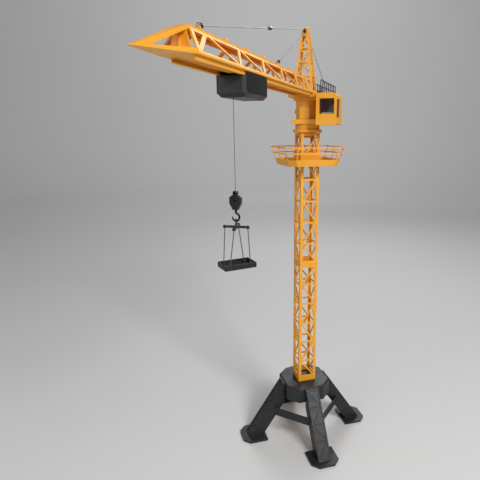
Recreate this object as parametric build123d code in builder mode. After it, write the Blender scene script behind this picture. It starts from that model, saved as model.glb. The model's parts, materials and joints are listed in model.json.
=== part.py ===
"""Toy tower crane, 1.28 m tall: black four-legged base, lattice mast, gallery, turning
upper works with a cabin, a 0.87 m jib, a motor trolley and a slung loading tray.

Millimetres. Z is up, the ground is Z = 0 and the mast's axis is the Z axis.
The upper works are drawn with the jib along -Y and the cabin on +X, then turned by
jib_turn about the mast's axis to their rest position.
"""
from build123d import *
import os
from math import acos, cos, hypot, pi, radians, sin, tan

os.makedirs("parts", exist_ok=True)

# ---- driving dimensions ----
jib_turn = -33.96          # rest angle of the upper works about Z, degrees
sides = ("front", "right", "back", "left")

hub_top = 189.0            # base hub
hub_low = 139.0
hub_half = 74.0
hub_corner = 32.0
hub_wall = 3.0
cover_screw_at = 48.0
mast_screw_at = 16.0

leg_width = 42.0           # legs and pads, radius and height pairs
leg_wall = 3.0
leg_top = (79.0, 186.0)
leg_foot = (199.0, 8.0)
leg_heel = (150.0, 8.0)
leg_under_hub = (74.0, 120.7)
pad_inner = 140.0
pad_outer = 218.0
pad_half = 45.0
pad_thick = 8.0
pad_corner = 20.0
relief_depth = 1.9
tie_radius = 110.0
tie_low = 77.0
tie_high = 105.0
tie_thick = 3.0

mast_half = 29.0           # lattice mast
mast_wall = 3.0
mast_post = 8.5
mast_bar = 4.6
mast_rung = 5.5
bay_height = 65.85
first_rung = 197.2
mast_joint = first_rung + 6 * bay_height
mast_top = 992.0

gallery_low = 898.0        # gallery round the mast
gallery_skirt_top = 917.0
gallery_rail_top = 953.0
gallery_half_low = 76.0
gallery_half_top = 94.0
gallery_corner = 20.0
gallery_wall = 2.4
gallery_sleeve_top = 936.0
rail_bar = 3.2

ring_low = 993.0           # slewing ring
ring_high = 1002.0
ring_radius = 43.0
neck_radius = 36.0
neck_high = 1017.0
stub_radius = 12.0
turret_low = 1017.4        # turret
flange_half = 39.5
flange_high = 1030.0
turret_radius = 34.0
turret_high = 1082.0
turret_cavity = 31.0
plate_low = 1090.0
plate_high = 1100.0

gear_module = 1.0          # gears
pressure_angle = 25.0
tooth_slack = 0.12
slew_gear_teeth = 28
slew_pinion_teeth = 10
slew_centres = gear_module * (slew_gear_teeth + slew_pinion_teeth) / 2 + 0.15
travel_pinion_teeth = 24
travel_pinion_radius = gear_module * travel_pinion_teeth / 2

cabin_left = 40.0          # cabin
cabin_right = 98.0
cabin_front = -70.0
cabin_back = 20.0
cabin_low = 1014.0
cabin_high = 1100.0
cabin_wall = 2.5

deck_low = 1100.0          # jib
deck_thick = 3.0
jib_half = 31.0
jib_top_half = 11.4
jib_top = 1141.0
jib_top_thick = 3.0
jib_root = -63.0
jib_apex = -745.0
nose_start = -757.0
jib_tip = -871.0
tip_half = 3.0
tip_low = 1094.2
tip_thick = 1.8
side_wall = 3.2
lip_low = 1093.0
lip_wall = 2.0
lip_half = 25.8
flange_inner = 19.4
lip_flange_thick = 2.0
lip_start_near = -757.0
lip_start_far = -733.0
lip_end = -62.0
eyelet_first = -204.0
eyelet_pitch = 98.3
eyelet_count = 6

head_y = -34.0             # tower head
head_half_low = 28.5
head_half_top = 11.0
head_low = deck_low + deck_thick
head_high = 1255.0
pendant_height = 1265.0
cable_radius = 1.3

counter_start = 60.0       # counter-jib
counter_end = 325.0
counter_half = 23.0
counter_low = 1108.0
counter_thick = 4.0
rail_height = 38.0

trolley_half = 28.6        # trolley at rest
trolley_front = -579.4
trolley_back = -455.4
trolley_low = 1056.5
trolley_cut = 7.0
trolley_high = 1092.7
trolley_side_high = 1098.8
trolley_wall = 2.0
pinion_y = -487.0
pinion_z = 1085.4
drum_y = -560.0
drum_z = 1070.0
drum_core = 6.0
rope_radius = 0.6
rope_y = drum_y - drum_core - rope_radius - 0.05

block_top = 890.5          # hook block and sling set
block_wide_top = 877.5
block_wide_low = 866.5
block_half = 11.8
block_low = 854.4
hook_centre = 839.6
hook_outer = 8.6
hook_inner = 4.6
spreader_turn = 54.0       # turns about the rope, before jib_turn
tray_turn = 46.0
spreader_z = 819.4
tray_low = 742.0
tray_high = 752.4
tray_half_x = 32.5
tray_half_y = 20.0


# ---- helpers ----
def keep(piece, name):
    """Label a finished piece of the fixed works and write it."""
    piece.part.label = name
    export_step(piece.part, f"parts/{name}.step")


def keep_turned(piece, name):
    """Turn a piece of the upper works to its rest angle, label it and write it."""
    turned = piece.part.rotate(Axis.Z, jib_turn)
    turned.label = name
    export_step(turned, f"parts/{name}.step")


def keep_group(group, name):
    """Label a group of separate solids and write it."""
    group.label = name
    export_step(group, f"parts/{name}.step")


def octagon(half, corner):
    """Points of a square with cut corners."""
    inner = half - corner
    return [(-inner, -half), (inner, -half), (half, -inner), (half, inner),
            (inner, half), (-inner, half), (-half, inner), (-half, -inner)]


def beside(start, corner, far, gap):
    """Point on the side start-corner that is `gap` away from the line start-far."""
    side = (Vector(*corner) - Vector(*start)).normalized()
    diagonal = (Vector(*far) - Vector(*start)).normalized()
    return Vector(*start) + side * (gap / side.cross(diagonal).length)


def bay_triangles(bay, bar, falling, mode):
    """Two triangles that leave a diagonal bar across a bay.

    bay holds its corners: bottom left, bottom right, top right, top left.
    """
    low_left, low_right, high_right, high_left = bay
    ends = (high_left, low_right) if falling else (low_left, high_right)
    corners = (low_left, high_right) if falling else (low_right, high_left)
    for corner in corners:
        first = beside(ends[0], corner, ends[1], bar / 2)
        second = beside(ends[1], corner, ends[0], bar / 2)
        Polygon(corner, (first.X, first.Y), (second.X, second.Y), align=None, mode=mode)


def lattice_wall(half_low, half_top, low, high, wall, post, bays, bar, first_falls):
    """Front wall of a square lattice tower, mitred at both corners.

    bays is a list of (bottom, top) distances up the wall.
    """
    run = half_low - half_top
    length = hypot(run, high - low)
    plane = Plane(origin=(0, -half_low, low), x_dir=(1, 0, 0),
                  z_dir=(0, -(high - low) / length, run / length))
    with BuildPart() as panel:
        with BuildSketch(plane):
            Polygon((-half_low, 0), (half_low, 0), (half_top, length), (-half_top, length),
                    align=None)
            for index, (bottom, top) in enumerate(bays):
                at_low = half_low - run * bottom / length - post
                at_high = half_low - run * top / length - post
                bay = [(-at_low, bottom), (at_low, bottom), (at_high, top), (-at_high, top)]
                bay_triangles(bay, bar, (index % 2 == 0) == first_falls, Mode.SUBTRACT)
        extrude(amount=-wall)
        for way in (1, -1):
            split(bisect_by=Plane(origin=(0, 0, 0), z_dir=(way, 1, 0)), keep=Keep.BOTTOM)
        split(bisect_by=Plane.XY.offset(low), keep=Keep.TOP)
    return panel


def four_walls(panel):
    """A front wall and its three copies round the Z axis, as one group of four solids."""
    return Compound(children=[panel.part.rotate(Axis.Z, 90 * index).solid()
                              for index in range(4)])


def involute(angle):
    return tan(angle) - angle


def gear_points(teeth, turn=0.0):
    """Outline of a spur gear with involute flanks, first tooth centred at `turn`."""
    pitch_radius = gear_module * teeth / 2
    base_radius = pitch_radius * cos(radians(pressure_angle))
    root = pitch_radius - 1.15 * gear_module
    tip = pitch_radius + 0.9 * gear_module
    half_pitch = (pi * gear_module / 2 - tooth_slack) / (2 * pitch_radius)
    half_base = half_pitch + involute(radians(pressure_angle))
    flank = [root, max(base_radius, root + 0.3), pitch_radius, tip]
    points = []
    for tooth in range(teeth):
        centre = radians(turn) + 2 * pi * tooth / teeth
        for side_of_tooth, radii in ((-1, flank), (1, flank[::-1])):
            for radius in radii:
                roll = acos(min(1.0, base_radius / radius))
                angle = centre + side_of_tooth * (half_base - involute(roll))
                points.append((radius * cos(angle), radius * sin(angle)))
    return points


def rod(start, end, radius):
    """A straight round rod between two points, added to the current part."""
    start, end = Vector(*start), Vector(*end)
    with Locations(Plane(origin=start, z_dir=end - start)):
        Cylinder(radius, (end - start).length, align=(Align.CENTER, Align.CENTER, Align.MIN))


def block(low, high, mode=Mode.ADD):
    """A box from its lowest to its highest corner, added to the current part."""
    size = [b - a for a, b in zip(low, high)]
    middle = [(a + b) / 2 for a, b in zip(low, high)]
    with Locations(tuple(middle)):
        Box(*size, mode=mode)


# ---- base ----
def make_hub():
    with BuildPart() as hub:
        with BuildSketch(Plane.XY.offset(hub_low)):
            Polygon(*octagon(hub_half, hub_corner), align=None)
        extrude(amount=hub_top - hub_low)
        chamfer(hub.edges().group_by(Axis.Z)[-1], 4)
        with BuildSketch(Plane.XY.offset(hub_low)):
            Polygon(*octagon(hub_half - hub_wall, hub_corner - 2), align=None)
        extrude(amount=hub_top - hub_low - hub_wall, mode=Mode.SUBTRACT)
        with BuildSketch(Plane.XY.offset(hub_low + 2.5)):
            with GridLocations(2 * cover_screw_at, 2 * cover_screw_at, 2, 2):
                Circle(4)
                Circle(1.45, mode=Mode.SUBTRACT)
        extrude(amount=hub_top - hub_wall - hub_low - 2.5)
        with BuildSketch(Plane.XY.offset(hub_top - hub_wall)):
            with GridLocations(2 * mast_screw_at, 2 * mast_screw_at, 2, 2):
                Circle(1.7)
        extrude(amount=hub_wall, mode=Mode.SUBTRACT)
    keep(hub, "base_hub")

    with BuildPart() as cover:
        with BuildSketch(Plane.XY.offset(hub_low)):
            Polygon(*octagon(hub_half - hub_wall - 0.4, hub_corner - 2), align=None)
            with GridLocations(2 * cover_screw_at, 2 * cover_screw_at, 2, 2):
                Circle(1.7, mode=Mode.SUBTRACT)
        extrude(amount=2.4)
    keep(cover, "base_hub_cover")

    with BuildPart() as screws:
        with GridLocations(2 * cover_screw_at, 2 * cover_screw_at, 2, 2):
            with Locations((0, 0, hub_low - 1.5)):
                Cylinder(2.9, 1.5, align=(Align.CENTER, Align.CENTER, Align.MIN))
            with Locations((0, 0, hub_low)):
                Cylinder(1.4, 14, align=(Align.CENTER, Align.CENTER, Align.MIN))
        with GridLocations(2 * mast_screw_at, 2 * mast_screw_at, 2, 2):
            with Locations((0, 0, hub_top - hub_wall - 1.8)):
                Cylinder(2.9, 1.8, align=(Align.CENTER, Align.CENTER, Align.MIN))
            with Locations((0, 0, hub_top - hub_wall)):
                Cylinder(1.4, 9, align=(Align.CENTER, Align.CENTER, Align.MIN))
    keep(screws, "base_screws")


def make_legs():
    """Hollow box legs with pads, and a truss pressed into each outer face."""
    run = leg_foot[0] - leg_top[0]
    drop = leg_top[1] - leg_foot[1]
    length = hypot(run, drop)
    inset = leg_wall * length / drop
    with BuildPart() as leg:
        with BuildSketch(Plane.YZ):
            outline = [(hub_half, leg_top[1]), leg_top, leg_foot, leg_heel, leg_under_hub]
            Polygon(*[(-radius, height) for radius, height in outline], align=None)
        extrude(amount=leg_width / 2, both=True)
        with BuildSketch(Plane.YZ):
            hollow = [(60, leg_top[1] - 3), (leg_top[0] - inset + 2, leg_top[1] - 3),
                      (leg_foot[0] - inset, leg_foot[1]), (leg_heel[0] - 10, leg_foot[1]),
                      (60, leg_under_hub[1])]
            Polygon(*[(-radius, height) for radius, height in hollow], align=None)
        extrude(amount=leg_width / 2 - leg_wall, both=True, mode=Mode.SUBTRACT)
        with BuildSketch():
            inner = pad_half - pad_corner
            Polygon((-pad_half, -pad_inner), (-pad_half, -pad_outer + pad_corner),
                    (-inner, -pad_outer), (inner, -pad_outer),
                    (pad_half, -pad_outer + pad_corner), (pad_half, -pad_inner), align=None)
        extrude(amount=pad_thick)
        rim = leg.faces().filter_by(Plane.XY).sort_by(Axis.Z)[0].edges()
        chamfer(rim, 0.8)
        middle = ((leg_top[0] + leg_foot[0]) / 2, (leg_top[1] + leg_foot[1]) / 2)
        face = Plane(origin=(0, -middle[0], middle[1]), x_dir=(1, 0, 0),
                     z_dir=(0, -drop / length, run / length))
        with BuildSketch(face):
            half = leg_width / 2 - 4
            bay = (length - 10) / 4
            for index in range(4):
                low = -length / 2 + 5 + index * bay + 1
                high = low + bay - 2
                corners = [(-half, low), (half, low), (half, high), (-half, high)]
                bay_triangles(corners, 2.4, index % 2 == 1, Mode.ADD)
        extrude(amount=-relief_depth, mode=Mode.SUBTRACT)
    for index, side in enumerate(sides):
        with BuildPart() as turned:
            add(leg.part.rotate(Axis.Z, 90 * index))
        keep(turned, f"leg_{side}")


def make_ties():
    """Four flat bars, each between two neighbouring legs."""
    half = leg_width / 2
    with BuildPart() as ties:
        with BuildSketch(Plane.XY.offset(tie_low)):
            for turn in range(4):
                with Locations(Location((0, 0, 0), (0, 0, 90 * turn))):
                    Polygon((-half, -tie_radius), (-half, -tie_radius - tie_thick),
                            (-tie_radius - tie_thick, -half), (-tie_radius, -half),
                            align=None)
        extrude(amount=tie_high - tie_low)
    keep(ties, "leg_tie_bars")


# ---- mast ----
def make_mast():
    """Two lattice sections of six bays, each of four walls."""
    gap = 0.15
    low = hub_top
    high = mast_joint - gap
    collar = 11.0
    bays = []
    for index in range(6):
        rung = first_rung + index * bay_height
        bottom = low + 20 if index == 0 else rung + mast_rung / 2
        top = mast_joint - collar if index == 5 else rung + bay_height - mast_rung / 2
        bays.append((bottom - low, top - low))
    lower = lattice_wall(mast_half, mast_half, low, high, mast_wall, mast_post, bays,
                         mast_bar, True)
    keep_group(four_walls(lower), "mast_lower_section")

    low = mast_joint + gap
    bays = []
    for index in range(6):
        rung = mast_joint + index * bay_height
        bottom = mast_joint + collar if index == 0 else rung + mast_rung / 2
        top = rung + bay_height - mast_rung / 2
        bays.append((bottom - low, top - low))
    upper = lattice_wall(mast_half, mast_half, low, mast_top, mast_wall, mast_post, bays,
                         mast_bar, True)
    keep_group(four_walls(upper), "mast_upper_section")

    inner = mast_half - mast_wall
    with BuildPart() as foot:
        block((-inner, -inner, hub_top), (inner, inner, hub_top + 8))
        with BuildSketch(Plane.XY.offset(hub_top)):
            with GridLocations(2 * mast_screw_at, 2 * mast_screw_at, 2, 2):
                Circle(1.45)
        extrude(amount=6.5, mode=Mode.SUBTRACT)
    keep(foot, "mast_foot")


def make_gallery():
    span = gallery_rail_top - gallery_low
    flare = (gallery_half_top - gallery_half_low) / span

    def half_at(height):
        return gallery_half_low + flare * (height - gallery_low)

    sleeve_half = mast_half + 0.3 + gallery_wall
    with BuildPart() as floor:
        for inset, start, mode in ((0, 0, Mode.ADD), (gallery_wall, gallery_wall, Mode.SUBTRACT)):
            with BuildSketch(Plane.XY.offset(gallery_low + start)):
                Polygon(*octagon(half_at(gallery_low + start) - inset, gallery_corner),
                        align=None)
            with BuildSketch(Plane.XY.offset(gallery_skirt_top)):
                Polygon(*octagon(half_at(gallery_skirt_top) - inset, gallery_corner),
                        align=None)
            loft(mode=mode)
        block((-sleeve_half, -sleeve_half, gallery_low),
              (sleeve_half, sleeve_half, gallery_sleeve_top))
        bore = mast_half + 0.05
        block((-bore, -bore, gallery_low - 1), (bore, bore, gallery_sleeve_top + 1),
              Mode.SUBTRACT)
    keep(floor, "gallery_floor")

    with BuildPart() as railing:
        for height in (gallery_rail_top - rail_bar, (gallery_skirt_top + gallery_rail_top) / 2 - 2):
            outer = half_at(height + rail_bar / 2)
            with BuildSketch(Plane.XY.offset(height)):
                Polygon(*octagon(outer, gallery_corner), align=None)
                Polygon(*octagon(outer - rail_bar, gallery_corner - rail_bar * 0.6),
                        align=None, mode=Mode.SUBTRACT)
            extrude(amount=rail_bar)
        low_z, high_z = gallery_skirt_top, gallery_rail_top - rail_bar / 2
        low_out, high_out = half_at(low_z) - 0.2, half_at(high_z) - 0.2
        posts = [(turn, offset) for turn in range(4) for offset in (-60.0, 0.0, 60.0)]
        posts.remove((3, 0.0))
        for quarter, offset in posts:
            turn = radians(90 * quarter)
            origin = (offset * sin(turn), -offset * cos(turn), 0)
            with BuildSketch(Plane(origin=origin, x_dir=(cos(turn), sin(turn), 0),
                                   z_dir=(sin(turn), -cos(turn), 0))):
                Polygon((low_out - rail_bar * 0.8, low_z), (low_out, low_z),
                        (high_out, high_z), (high_out - rail_bar * 0.8, high_z),
                        align=None)
            extrude(amount=rail_bar * 0.4, both=True)
    keep(railing, "gallery_railing")


# ---- slewing gear and turret ----
def make_slew_base():
    with BuildPart() as base:
        with BuildSketch(Plane.XZ):
            with BuildLine():
                Polyline((1.2, 978), (12, 978), (25, ring_low), (ring_radius - 1.5, ring_low),
                         (ring_radius, ring_low + 1.5), (ring_radius, ring_high - 1.5),
                         (ring_radius - 1.5, ring_high), (neck_radius, ring_high),
                         (neck_radius, neck_high), (stub_radius, neck_high),
                         (stub_radius, neck_high + 4), (1.2, neck_high + 4), close=True)
            make_face()
        revolve(axis=Axis.Z)
    keep(base, "slew_base")

    with BuildPart() as gear:
        with BuildSketch(Plane.XY.offset(neck_high + 4)):
            Polygon(*gear_points(slew_gear_teeth, 90 + jib_turn), align=None)
            Circle(1.6, mode=Mode.SUBTRACT)
        extrude(amount=8)
    keep(gear, "slew_gear")

    with BuildPart() as screw:
        with Locations((0, 0, neck_high + 12)):
            Cylinder(3.5, 2.2, align=(Align.CENTER, Align.CENTER, Align.MIN))
        with Locations((0, 0, neck_high - 18)):
            Cylinder(1.15, 30, align=(Align.CENTER, Align.CENTER, Align.MIN))
    keep(screw, "slew_screw")

    with BuildPart() as pinion:
        # A tooth gap faces the big gear's first tooth, whose centre lies on +Y.
        turned = 90 + 180 + 180 / slew_pinion_teeth
        with BuildSketch(Plane.XY.offset(neck_high + 4.5)):
            with Locations((0, slew_centres)):
                Polygon(*gear_points(slew_pinion_teeth, turned), align=None)
        extrude(amount=7)
        with Locations((0, slew_centres, neck_high + 11.5)):
            Cylinder(1.5, 12, align=(Align.CENTER, Align.CENTER, Align.MIN))
    keep_turned(pinion, "slew_pinion")


def make_turret():
    with BuildPart() as housing:
        with BuildSketch(Plane.XY.offset(turret_low)):
            RectangleRounded(2 * flange_half, 2 * flange_half, 2)
        extrude(amount=flange_high - turret_low)
        with BuildSketch(Plane.XY.offset(flange_high)):
            Circle(turret_radius)
        extrude(amount=turret_high - flange_high)
        with BuildSketch(Plane.XY.offset(turret_high)):
            RectangleRounded(2 * turret_radius, 2 * turret_radius, 3)
        extrude(amount=plate_low - turret_high)
        block((-15, -36.2, flange_high), (15, -20, 1066))
        block((-36.5, -5, 1046), (-28, 5, 1060))
        with BuildSketch(Plane.XY.offset(turret_low + 2.6)):
            Circle(turret_cavity)
        extrude(amount=plate_low - turret_low - 2.6, mode=Mode.SUBTRACT)
        with BuildSketch(Plane.XY.offset(turret_low)):
            Circle(stub_radius + 0.06)
        extrude(amount=2.6, mode=Mode.SUBTRACT)
        block((-13, -40, 1032.4), (13, -24, 1064.4), Mode.SUBTRACT)
        block((-37, -1.6, 1048), (-27, 1.6, 1058), Mode.SUBTRACT)
        with Locations(Location((-turret_radius + 1, 0, 1074), (0, -90, 0))):
            Cylinder(2.6, 3, align=(Align.CENTER, Align.CENTER, Align.MIN))
    keep_turned(housing, "turret_housing")

    with BuildPart() as cover:
        block((-12.8, -36.6, 1032.6), (12.8, -34.4, 1064.2))
        fillet(cover.edges().filter_by(Axis.Y), 1.5)
    keep_turned(cover, "battery_cover")

    with BuildPart() as plate:
        block((-44, -58, plate_low), (cabin_left, 58, plate_high))
        fillet(plate.edges().filter_by(Axis.Z), 3)
    keep_turned(plate, "turret_top_plate")

    with BuildPart() as cells:
        with Locations((-11.4, -17.8, 1032.6), (0, -17.8, 1032.6), (11.4, -17.8, 1032.6)):
            Cylinder(5.25, 43.7, align=(Align.CENTER, Align.CENTER, Align.MIN))
        with Locations((-11.4, -17.8, 1076.3), (0, -17.8, 1076.3), (11.4, -17.8, 1076.3)):
            Cylinder(1.9, 0.8, align=(Align.CENTER, Align.CENTER, Align.MIN))
    keep_turned(cells, "batteries")

    with BuildPart() as motor:
        block((-11, slew_centres - 9, 1031), (11, slew_centres + 9, 1044))
        with Locations((0, slew_centres, 1044)):
            Cylinder(7.5, 20, align=(Align.CENTER, Align.CENTER, Align.MIN))
        with Locations((0, slew_centres, 1031)):
            Cylinder(1.56, 12, align=(Align.CENTER, Align.CENTER, Align.MIN),
                     mode=Mode.SUBTRACT)
    keep_turned(motor, "slew_gearmotor")

    with BuildPart() as board:
        block((20.4, -14, 1034), (22, 14, 1072))
        block((18.2, -8, 1044), (20.4, 2, 1054))
        block((18.2, 5, 1058), (20.4, 11, 1064))
    keep_turned(board, "circuit_board")

    with BuildPart() as switch:
        block((-38.6, -1.4, 1048.4), (-29, 1.4, 1054.4))
    keep_turned(switch, "power_switch")


def make_cabin():
    with BuildPart() as shell:
        block((cabin_left, cabin_front, cabin_low), (cabin_right, cabin_back, cabin_high))
        long_edges = shell.edges().filter_by(Axis.Y)
        fillet(long_edges.sort_by(Axis.X)[-2:].sort_by(Axis.Z)[-1], 12)
        fillet(shell.edges().filter_by(Axis.Y).group_by(Axis.Z)[0].sort_by(Axis.X)[-1], 5)
        block((cabin_left + cabin_wall, cabin_front + cabin_wall, cabin_low + cabin_wall),
              (cabin_right - 4, cabin_back - cabin_wall, cabin_high - 4), Mode.SUBTRACT)
        block((50, cabin_front - 1, 1044), (91, cabin_front + 4, 1085), Mode.SUBTRACT)
        block((cabin_right - 6, -64, 1034), (cabin_right + 1, -16, 1084), Mode.SUBTRACT)
    keep_turned(shell, "cabin_shell")

    with BuildPart() as glass:
        block((50, cabin_front + 0.8, 1044), (91, cabin_front + 2.2, 1085))
        block((cabin_right - 3, -64, 1034), (cabin_right - 1.5, -16, 1084))
    keep_turned(glass, "cabin_windows")

    with BuildPart() as seat:
        block((60, -36, 1016.5), (82, -14, 1034))
        block((58, -40, 1034), (84, -12, 1041))
        block((58, -16, 1041), (84, -10, 1072))
        fillet(seat.edges().filter_by(Axis.X).sort_by(Axis.Z)[-2:], 2.5)
    keep_turned(seat, "cabin_seat")

    with BuildPart() as console:
        block((56, -66, 1016.5), (88, -52, 1048))
        chamfer(console.edges().filter_by(Axis.X).sort_by(Axis.Z)[-1], 5)
    keep_turned(console, "cabin_console")


# ---- tower head ----
def make_tower_head():
    levels = [head_low, 1148.0, 1185.0, 1222.0, head_high]
    bays = [(levels[i] - head_low + (6 if i == 0 else 2.2),
             levels[i + 1] - head_low - 2.2) for i in range(4)]
    wall = lattice_wall(head_half_low, head_half_top, head_low, head_high, 3.0, 5.2, bays,
                        3.2, True)
    walls = four_walls(wall).moved(Location((0, head_y, 0)))
    keep_group(walls.rotate(Axis.Z, jib_turn), "tower_head")

    with BuildPart() as cap:
        block((-10, head_y - 10.5, head_high + 0.2), (10, head_y + 10.5, head_high + 5))
        with BuildSketch(Plane.YZ):
            with Locations((head_y, pendant_height)):
                Circle(10.4)
            with Locations((head_y, head_high - 19.8)):
                Rectangle(40, 40, mode=Mode.SUBTRACT)
        extrude(amount=8, both=True)
        with Locations(Location((0, head_y, pendant_height), (0, 90, 0))):
            Cylinder(4.6, 20)
    keep_turned(cap, "tower_head_cap")


# ---- jib ----
def side_plane():
    """Plane of the jib's right side truss: X runs towards the jib's tip, Y up the slope."""
    run = jib_half - jib_top_half
    rise = jib_top - jib_top_thick - deck_low - deck_thick
    length = hypot(run, rise)
    return Plane(origin=(jib_half, 0, deck_low + deck_thick), x_dir=(0, -1, 0),
                 z_dir=(-rise / length, 0, -run / length)), length


def strut(start, end, width):
    """A flat bar between two points of the current sketch."""
    first, last = Vector(*start), Vector(*end)
    along = (last - first).normalized()
    across = Vector(-along.Y, along.X) * (width / 2)
    corners = (first - across, last - across, last + across, first + across)
    Polygon(*[(point.X, point.Y) for point in corners], align=None)


def make_jib_side():
    """Right side truss: chords, steep posts and long diagonals that cross the bays."""
    plane, length = side_plane()
    low_nodes = [757.0, 600.0, 475.0, 349.0, 222.0]
    high_nodes = [694.0, 567.0, 440.0, 313.0, 195.0]
    low_chord, high_chord = 3.0, 5.0
    with BuildPart() as truss:
        with BuildSketch(plane):
            root = -jib_root
            Polygon((root, 0), (757, 0), (757, low_chord), (root, low_chord), align=None)
            Polygon((root, length - high_chord), (745, length - high_chord), (745, length),
                    (root, length), align=None)
            Polygon((root, 0), (118, 0), (92, length), (root, length), align=None)
            strut((150, 2), (118, length - 2), 7.0)
            strut((low_nodes[0] - 4, 2), (739.4, length - 2), 7.5)
            strut((low_nodes[0] - 6, 2), (high_nodes[0] + 3, length - 2), 7.5)
            for low, high in zip(low_nodes[1:], high_nodes[1:]):
                strut((low, 2), (high, length - 2), 7.0)
            for low, high in zip(low_nodes[1:], high_nodes):
                strut((high - 6, length - 2), (low + 6, 2), 3.6)
            strut((high_nodes[4] - 4, length - 2), (150, 2), 3.6)
        extrude(amount=side_wall)
        split(bisect_by=Plane.XY.offset(deck_low + deck_thick), keep=Keep.TOP)
        split(bisect_by=Plane.XY.offset(jib_top - jib_top_thick), keep=Keep.BOTTOM)
        split(bisect_by=Plane.XZ.offset(-nose_start), keep=Keep.BOTTOM)
    return truss


def nose_outline(half, start, end_half, end):
    """Plan outline that narrows towards the jib's tip."""
    Polygon((-half, start), (-end_half, end), (end_half, end), (half, start), align=None)


def make_nose_plate():
    """The deck's end, which narrows and dips towards the tip."""
    with BuildPart() as plate:
        with BuildSketch(Plane.YZ):
            Polygon((nose_start + 1, deck_low), (nose_start + 1, deck_low + deck_thick),
                    (nose_start, deck_low + deck_thick), (jib_tip, tip_low + tip_thick),
                    (jib_tip, tip_low), (nose_start, deck_low), align=None)
        extrude(amount=jib_half, both=True)
        with BuildSketch(Plane.XY.offset(tip_low - 1)):
            Polygon((-jib_half, nose_start + 1), (-jib_half, nose_start), (-tip_half, jib_tip),
                    (tip_half, jib_tip), (jib_half, nose_start), (jib_half, nose_start + 1),
                    align=None)
        extrude(amount=20, mode=Mode.INTERSECT)
    return plate


def make_jib():
    with BuildPart() as deck:
        with BuildSketch(Plane.XY.offset(deck_low)):
            Polygon((-jib_half, 58), (-jib_half, nose_start), (jib_half, nose_start),
                    (jib_half, 58), align=None)
        extrude(amount=deck_thick)
        add(make_nose_plate().part)
        for way, start in ((1, lip_start_near), (-1, lip_start_far)):
            web = sorted((way * (lip_half - lip_wall), way * lip_half))
            flange = sorted((way * flange_inner, way * lip_half))
            block((web[0], start, lip_low), (web[1], lip_end, deck_low))
            block((flange[0], start, lip_low), (flange[1], lip_end, lip_low + lip_flange_thick))
        for way in (-1, 1):
            ridge = sorted((way * 8.0, way * 9.6))
            block((ridge[0], -708, deck_low - 1.4), (ridge[1], lip_end, deck_low))
    keep_turned(deck, "jib_deck")

    truss = make_jib_side()
    keep_turned(truss, "jib_side_right")
    with BuildPart() as other:
        mirror(truss.part, about=Plane.YZ)
    keep_turned(other, "jib_side_left")

    with BuildPart() as top:
        block((-jib_top_half, jib_apex, jib_top - jib_top_thick),
              (jib_top_half, jib_root, jib_top))
        for index in range(eyelet_count):
            spot = Location((0, eyelet_first - index * eyelet_pitch, jib_top + 3.6), (90, 0, 0))
            with Locations(spot):
                Cylinder(5.3, 2.6)
                Cylinder(3.0, 3, mode=Mode.SUBTRACT)
        block((-jib_top_half, jib_apex, jib_top - jib_top_thick),
              (jib_top_half, jib_root, jib_top))
    keep_turned(top, "jib_top_plate")

    high, low = jib_top, deck_low + deck_thick
    dip = (low - tip_low - tip_thick) / (nose_start - jib_tip)
    rim_end = jib_tip + 3
    rim_end_z = low - dip * (nose_start - rim_end)
    with BuildPart() as rim:
        with BuildSketch(Plane.YZ):
            Polygon((nose_start, low), (nose_start, low + 4.5), (rim_end, rim_end_z + 0.6),
                    (rim_end, rim_end_z), align=None)
        extrude(amount=jib_half, both=True)
        with BuildSketch(Plane.XY.offset(tip_low)):
            nose_outline(jib_half, nose_start, tip_half, jib_tip)
        extrude(amount=30, mode=Mode.INTERSECT)
        with BuildSketch(Plane.XY.offset(tip_low)):
            nose_outline(jib_half - 3, nose_start + 1, 0.6, jib_tip + 14)
        extrude(amount=30, mode=Mode.SUBTRACT)
    with BuildPart() as nose:
        foot = jib_tip + 15
        foot_z = low - dip * (nose_start - foot)
        with BuildSketch(Plane.YZ):
            Polygon((jib_apex, high), (jib_apex, high - 5.5), (foot + 14, foot_z + dip * 14),
                    (foot - 6, foot_z - dip * 6), (foot - 6, foot_z + 1), align=None)
        extrude(amount=jib_top_half, both=True)
        with BuildSketch(Plane.XY.offset(tip_low)):
            nose_outline(jib_top_half, jib_apex, tip_half, jib_tip)
        extrude(amount=high - tip_low, mode=Mode.INTERSECT)
        add(rim.part)
        with BuildSketch(Plane.XZ.offset(-nose_start - 8)):
            Polygon((-18, low), (18, low), (8.3, high - 4), (-8.3, high - 4),
                    align=None)
        extrude(amount=3)
        with BuildSketch(Plane.YZ):
            Polygon((nose_start + 6, low), (nose_start - 0.5, low), (nose_start + 5, high - 10),
                    align=None)
        extrude(amount=1.5, both=True)
    keep_turned(nose, "jib_nose")

    with BuildPart() as rack:
        pitch = pi * gear_module
        count = 166
        first = pinion_y - pitch * 62
        pitch_z = pinion_z + travel_pinion_radius + 0.15
        lean = tan(radians(pressure_angle)) * gear_module
        half = pitch / 4 - tooth_slack / 2
        start, end = first - pitch / 2, first + pitch * (count - 0.5)
        points = [(start, deck_low), (start, pitch_z + 1.15 * gear_module)]
        for tooth in range(count):
            centre = first + pitch * tooth
            root_half = half + 1.15 * lean
            tip_half_width = half - 0.9 * lean
            points += [(centre - root_half, pitch_z + 1.15 * gear_module),
                       (centre - tip_half_width, pitch_z - 0.9 * gear_module),
                       (centre + tip_half_width, pitch_z - 0.9 * gear_module),
                       (centre + root_half, pitch_z + 1.15 * gear_module)]
        points += [(end, pitch_z + 1.15 * gear_module), (end, deck_low)]
        with BuildSketch(Plane.YZ):
            Polygon(*points, align=None)
        extrude(amount=4, both=True)
    keep_turned(rack, "trolley_rack")


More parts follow.
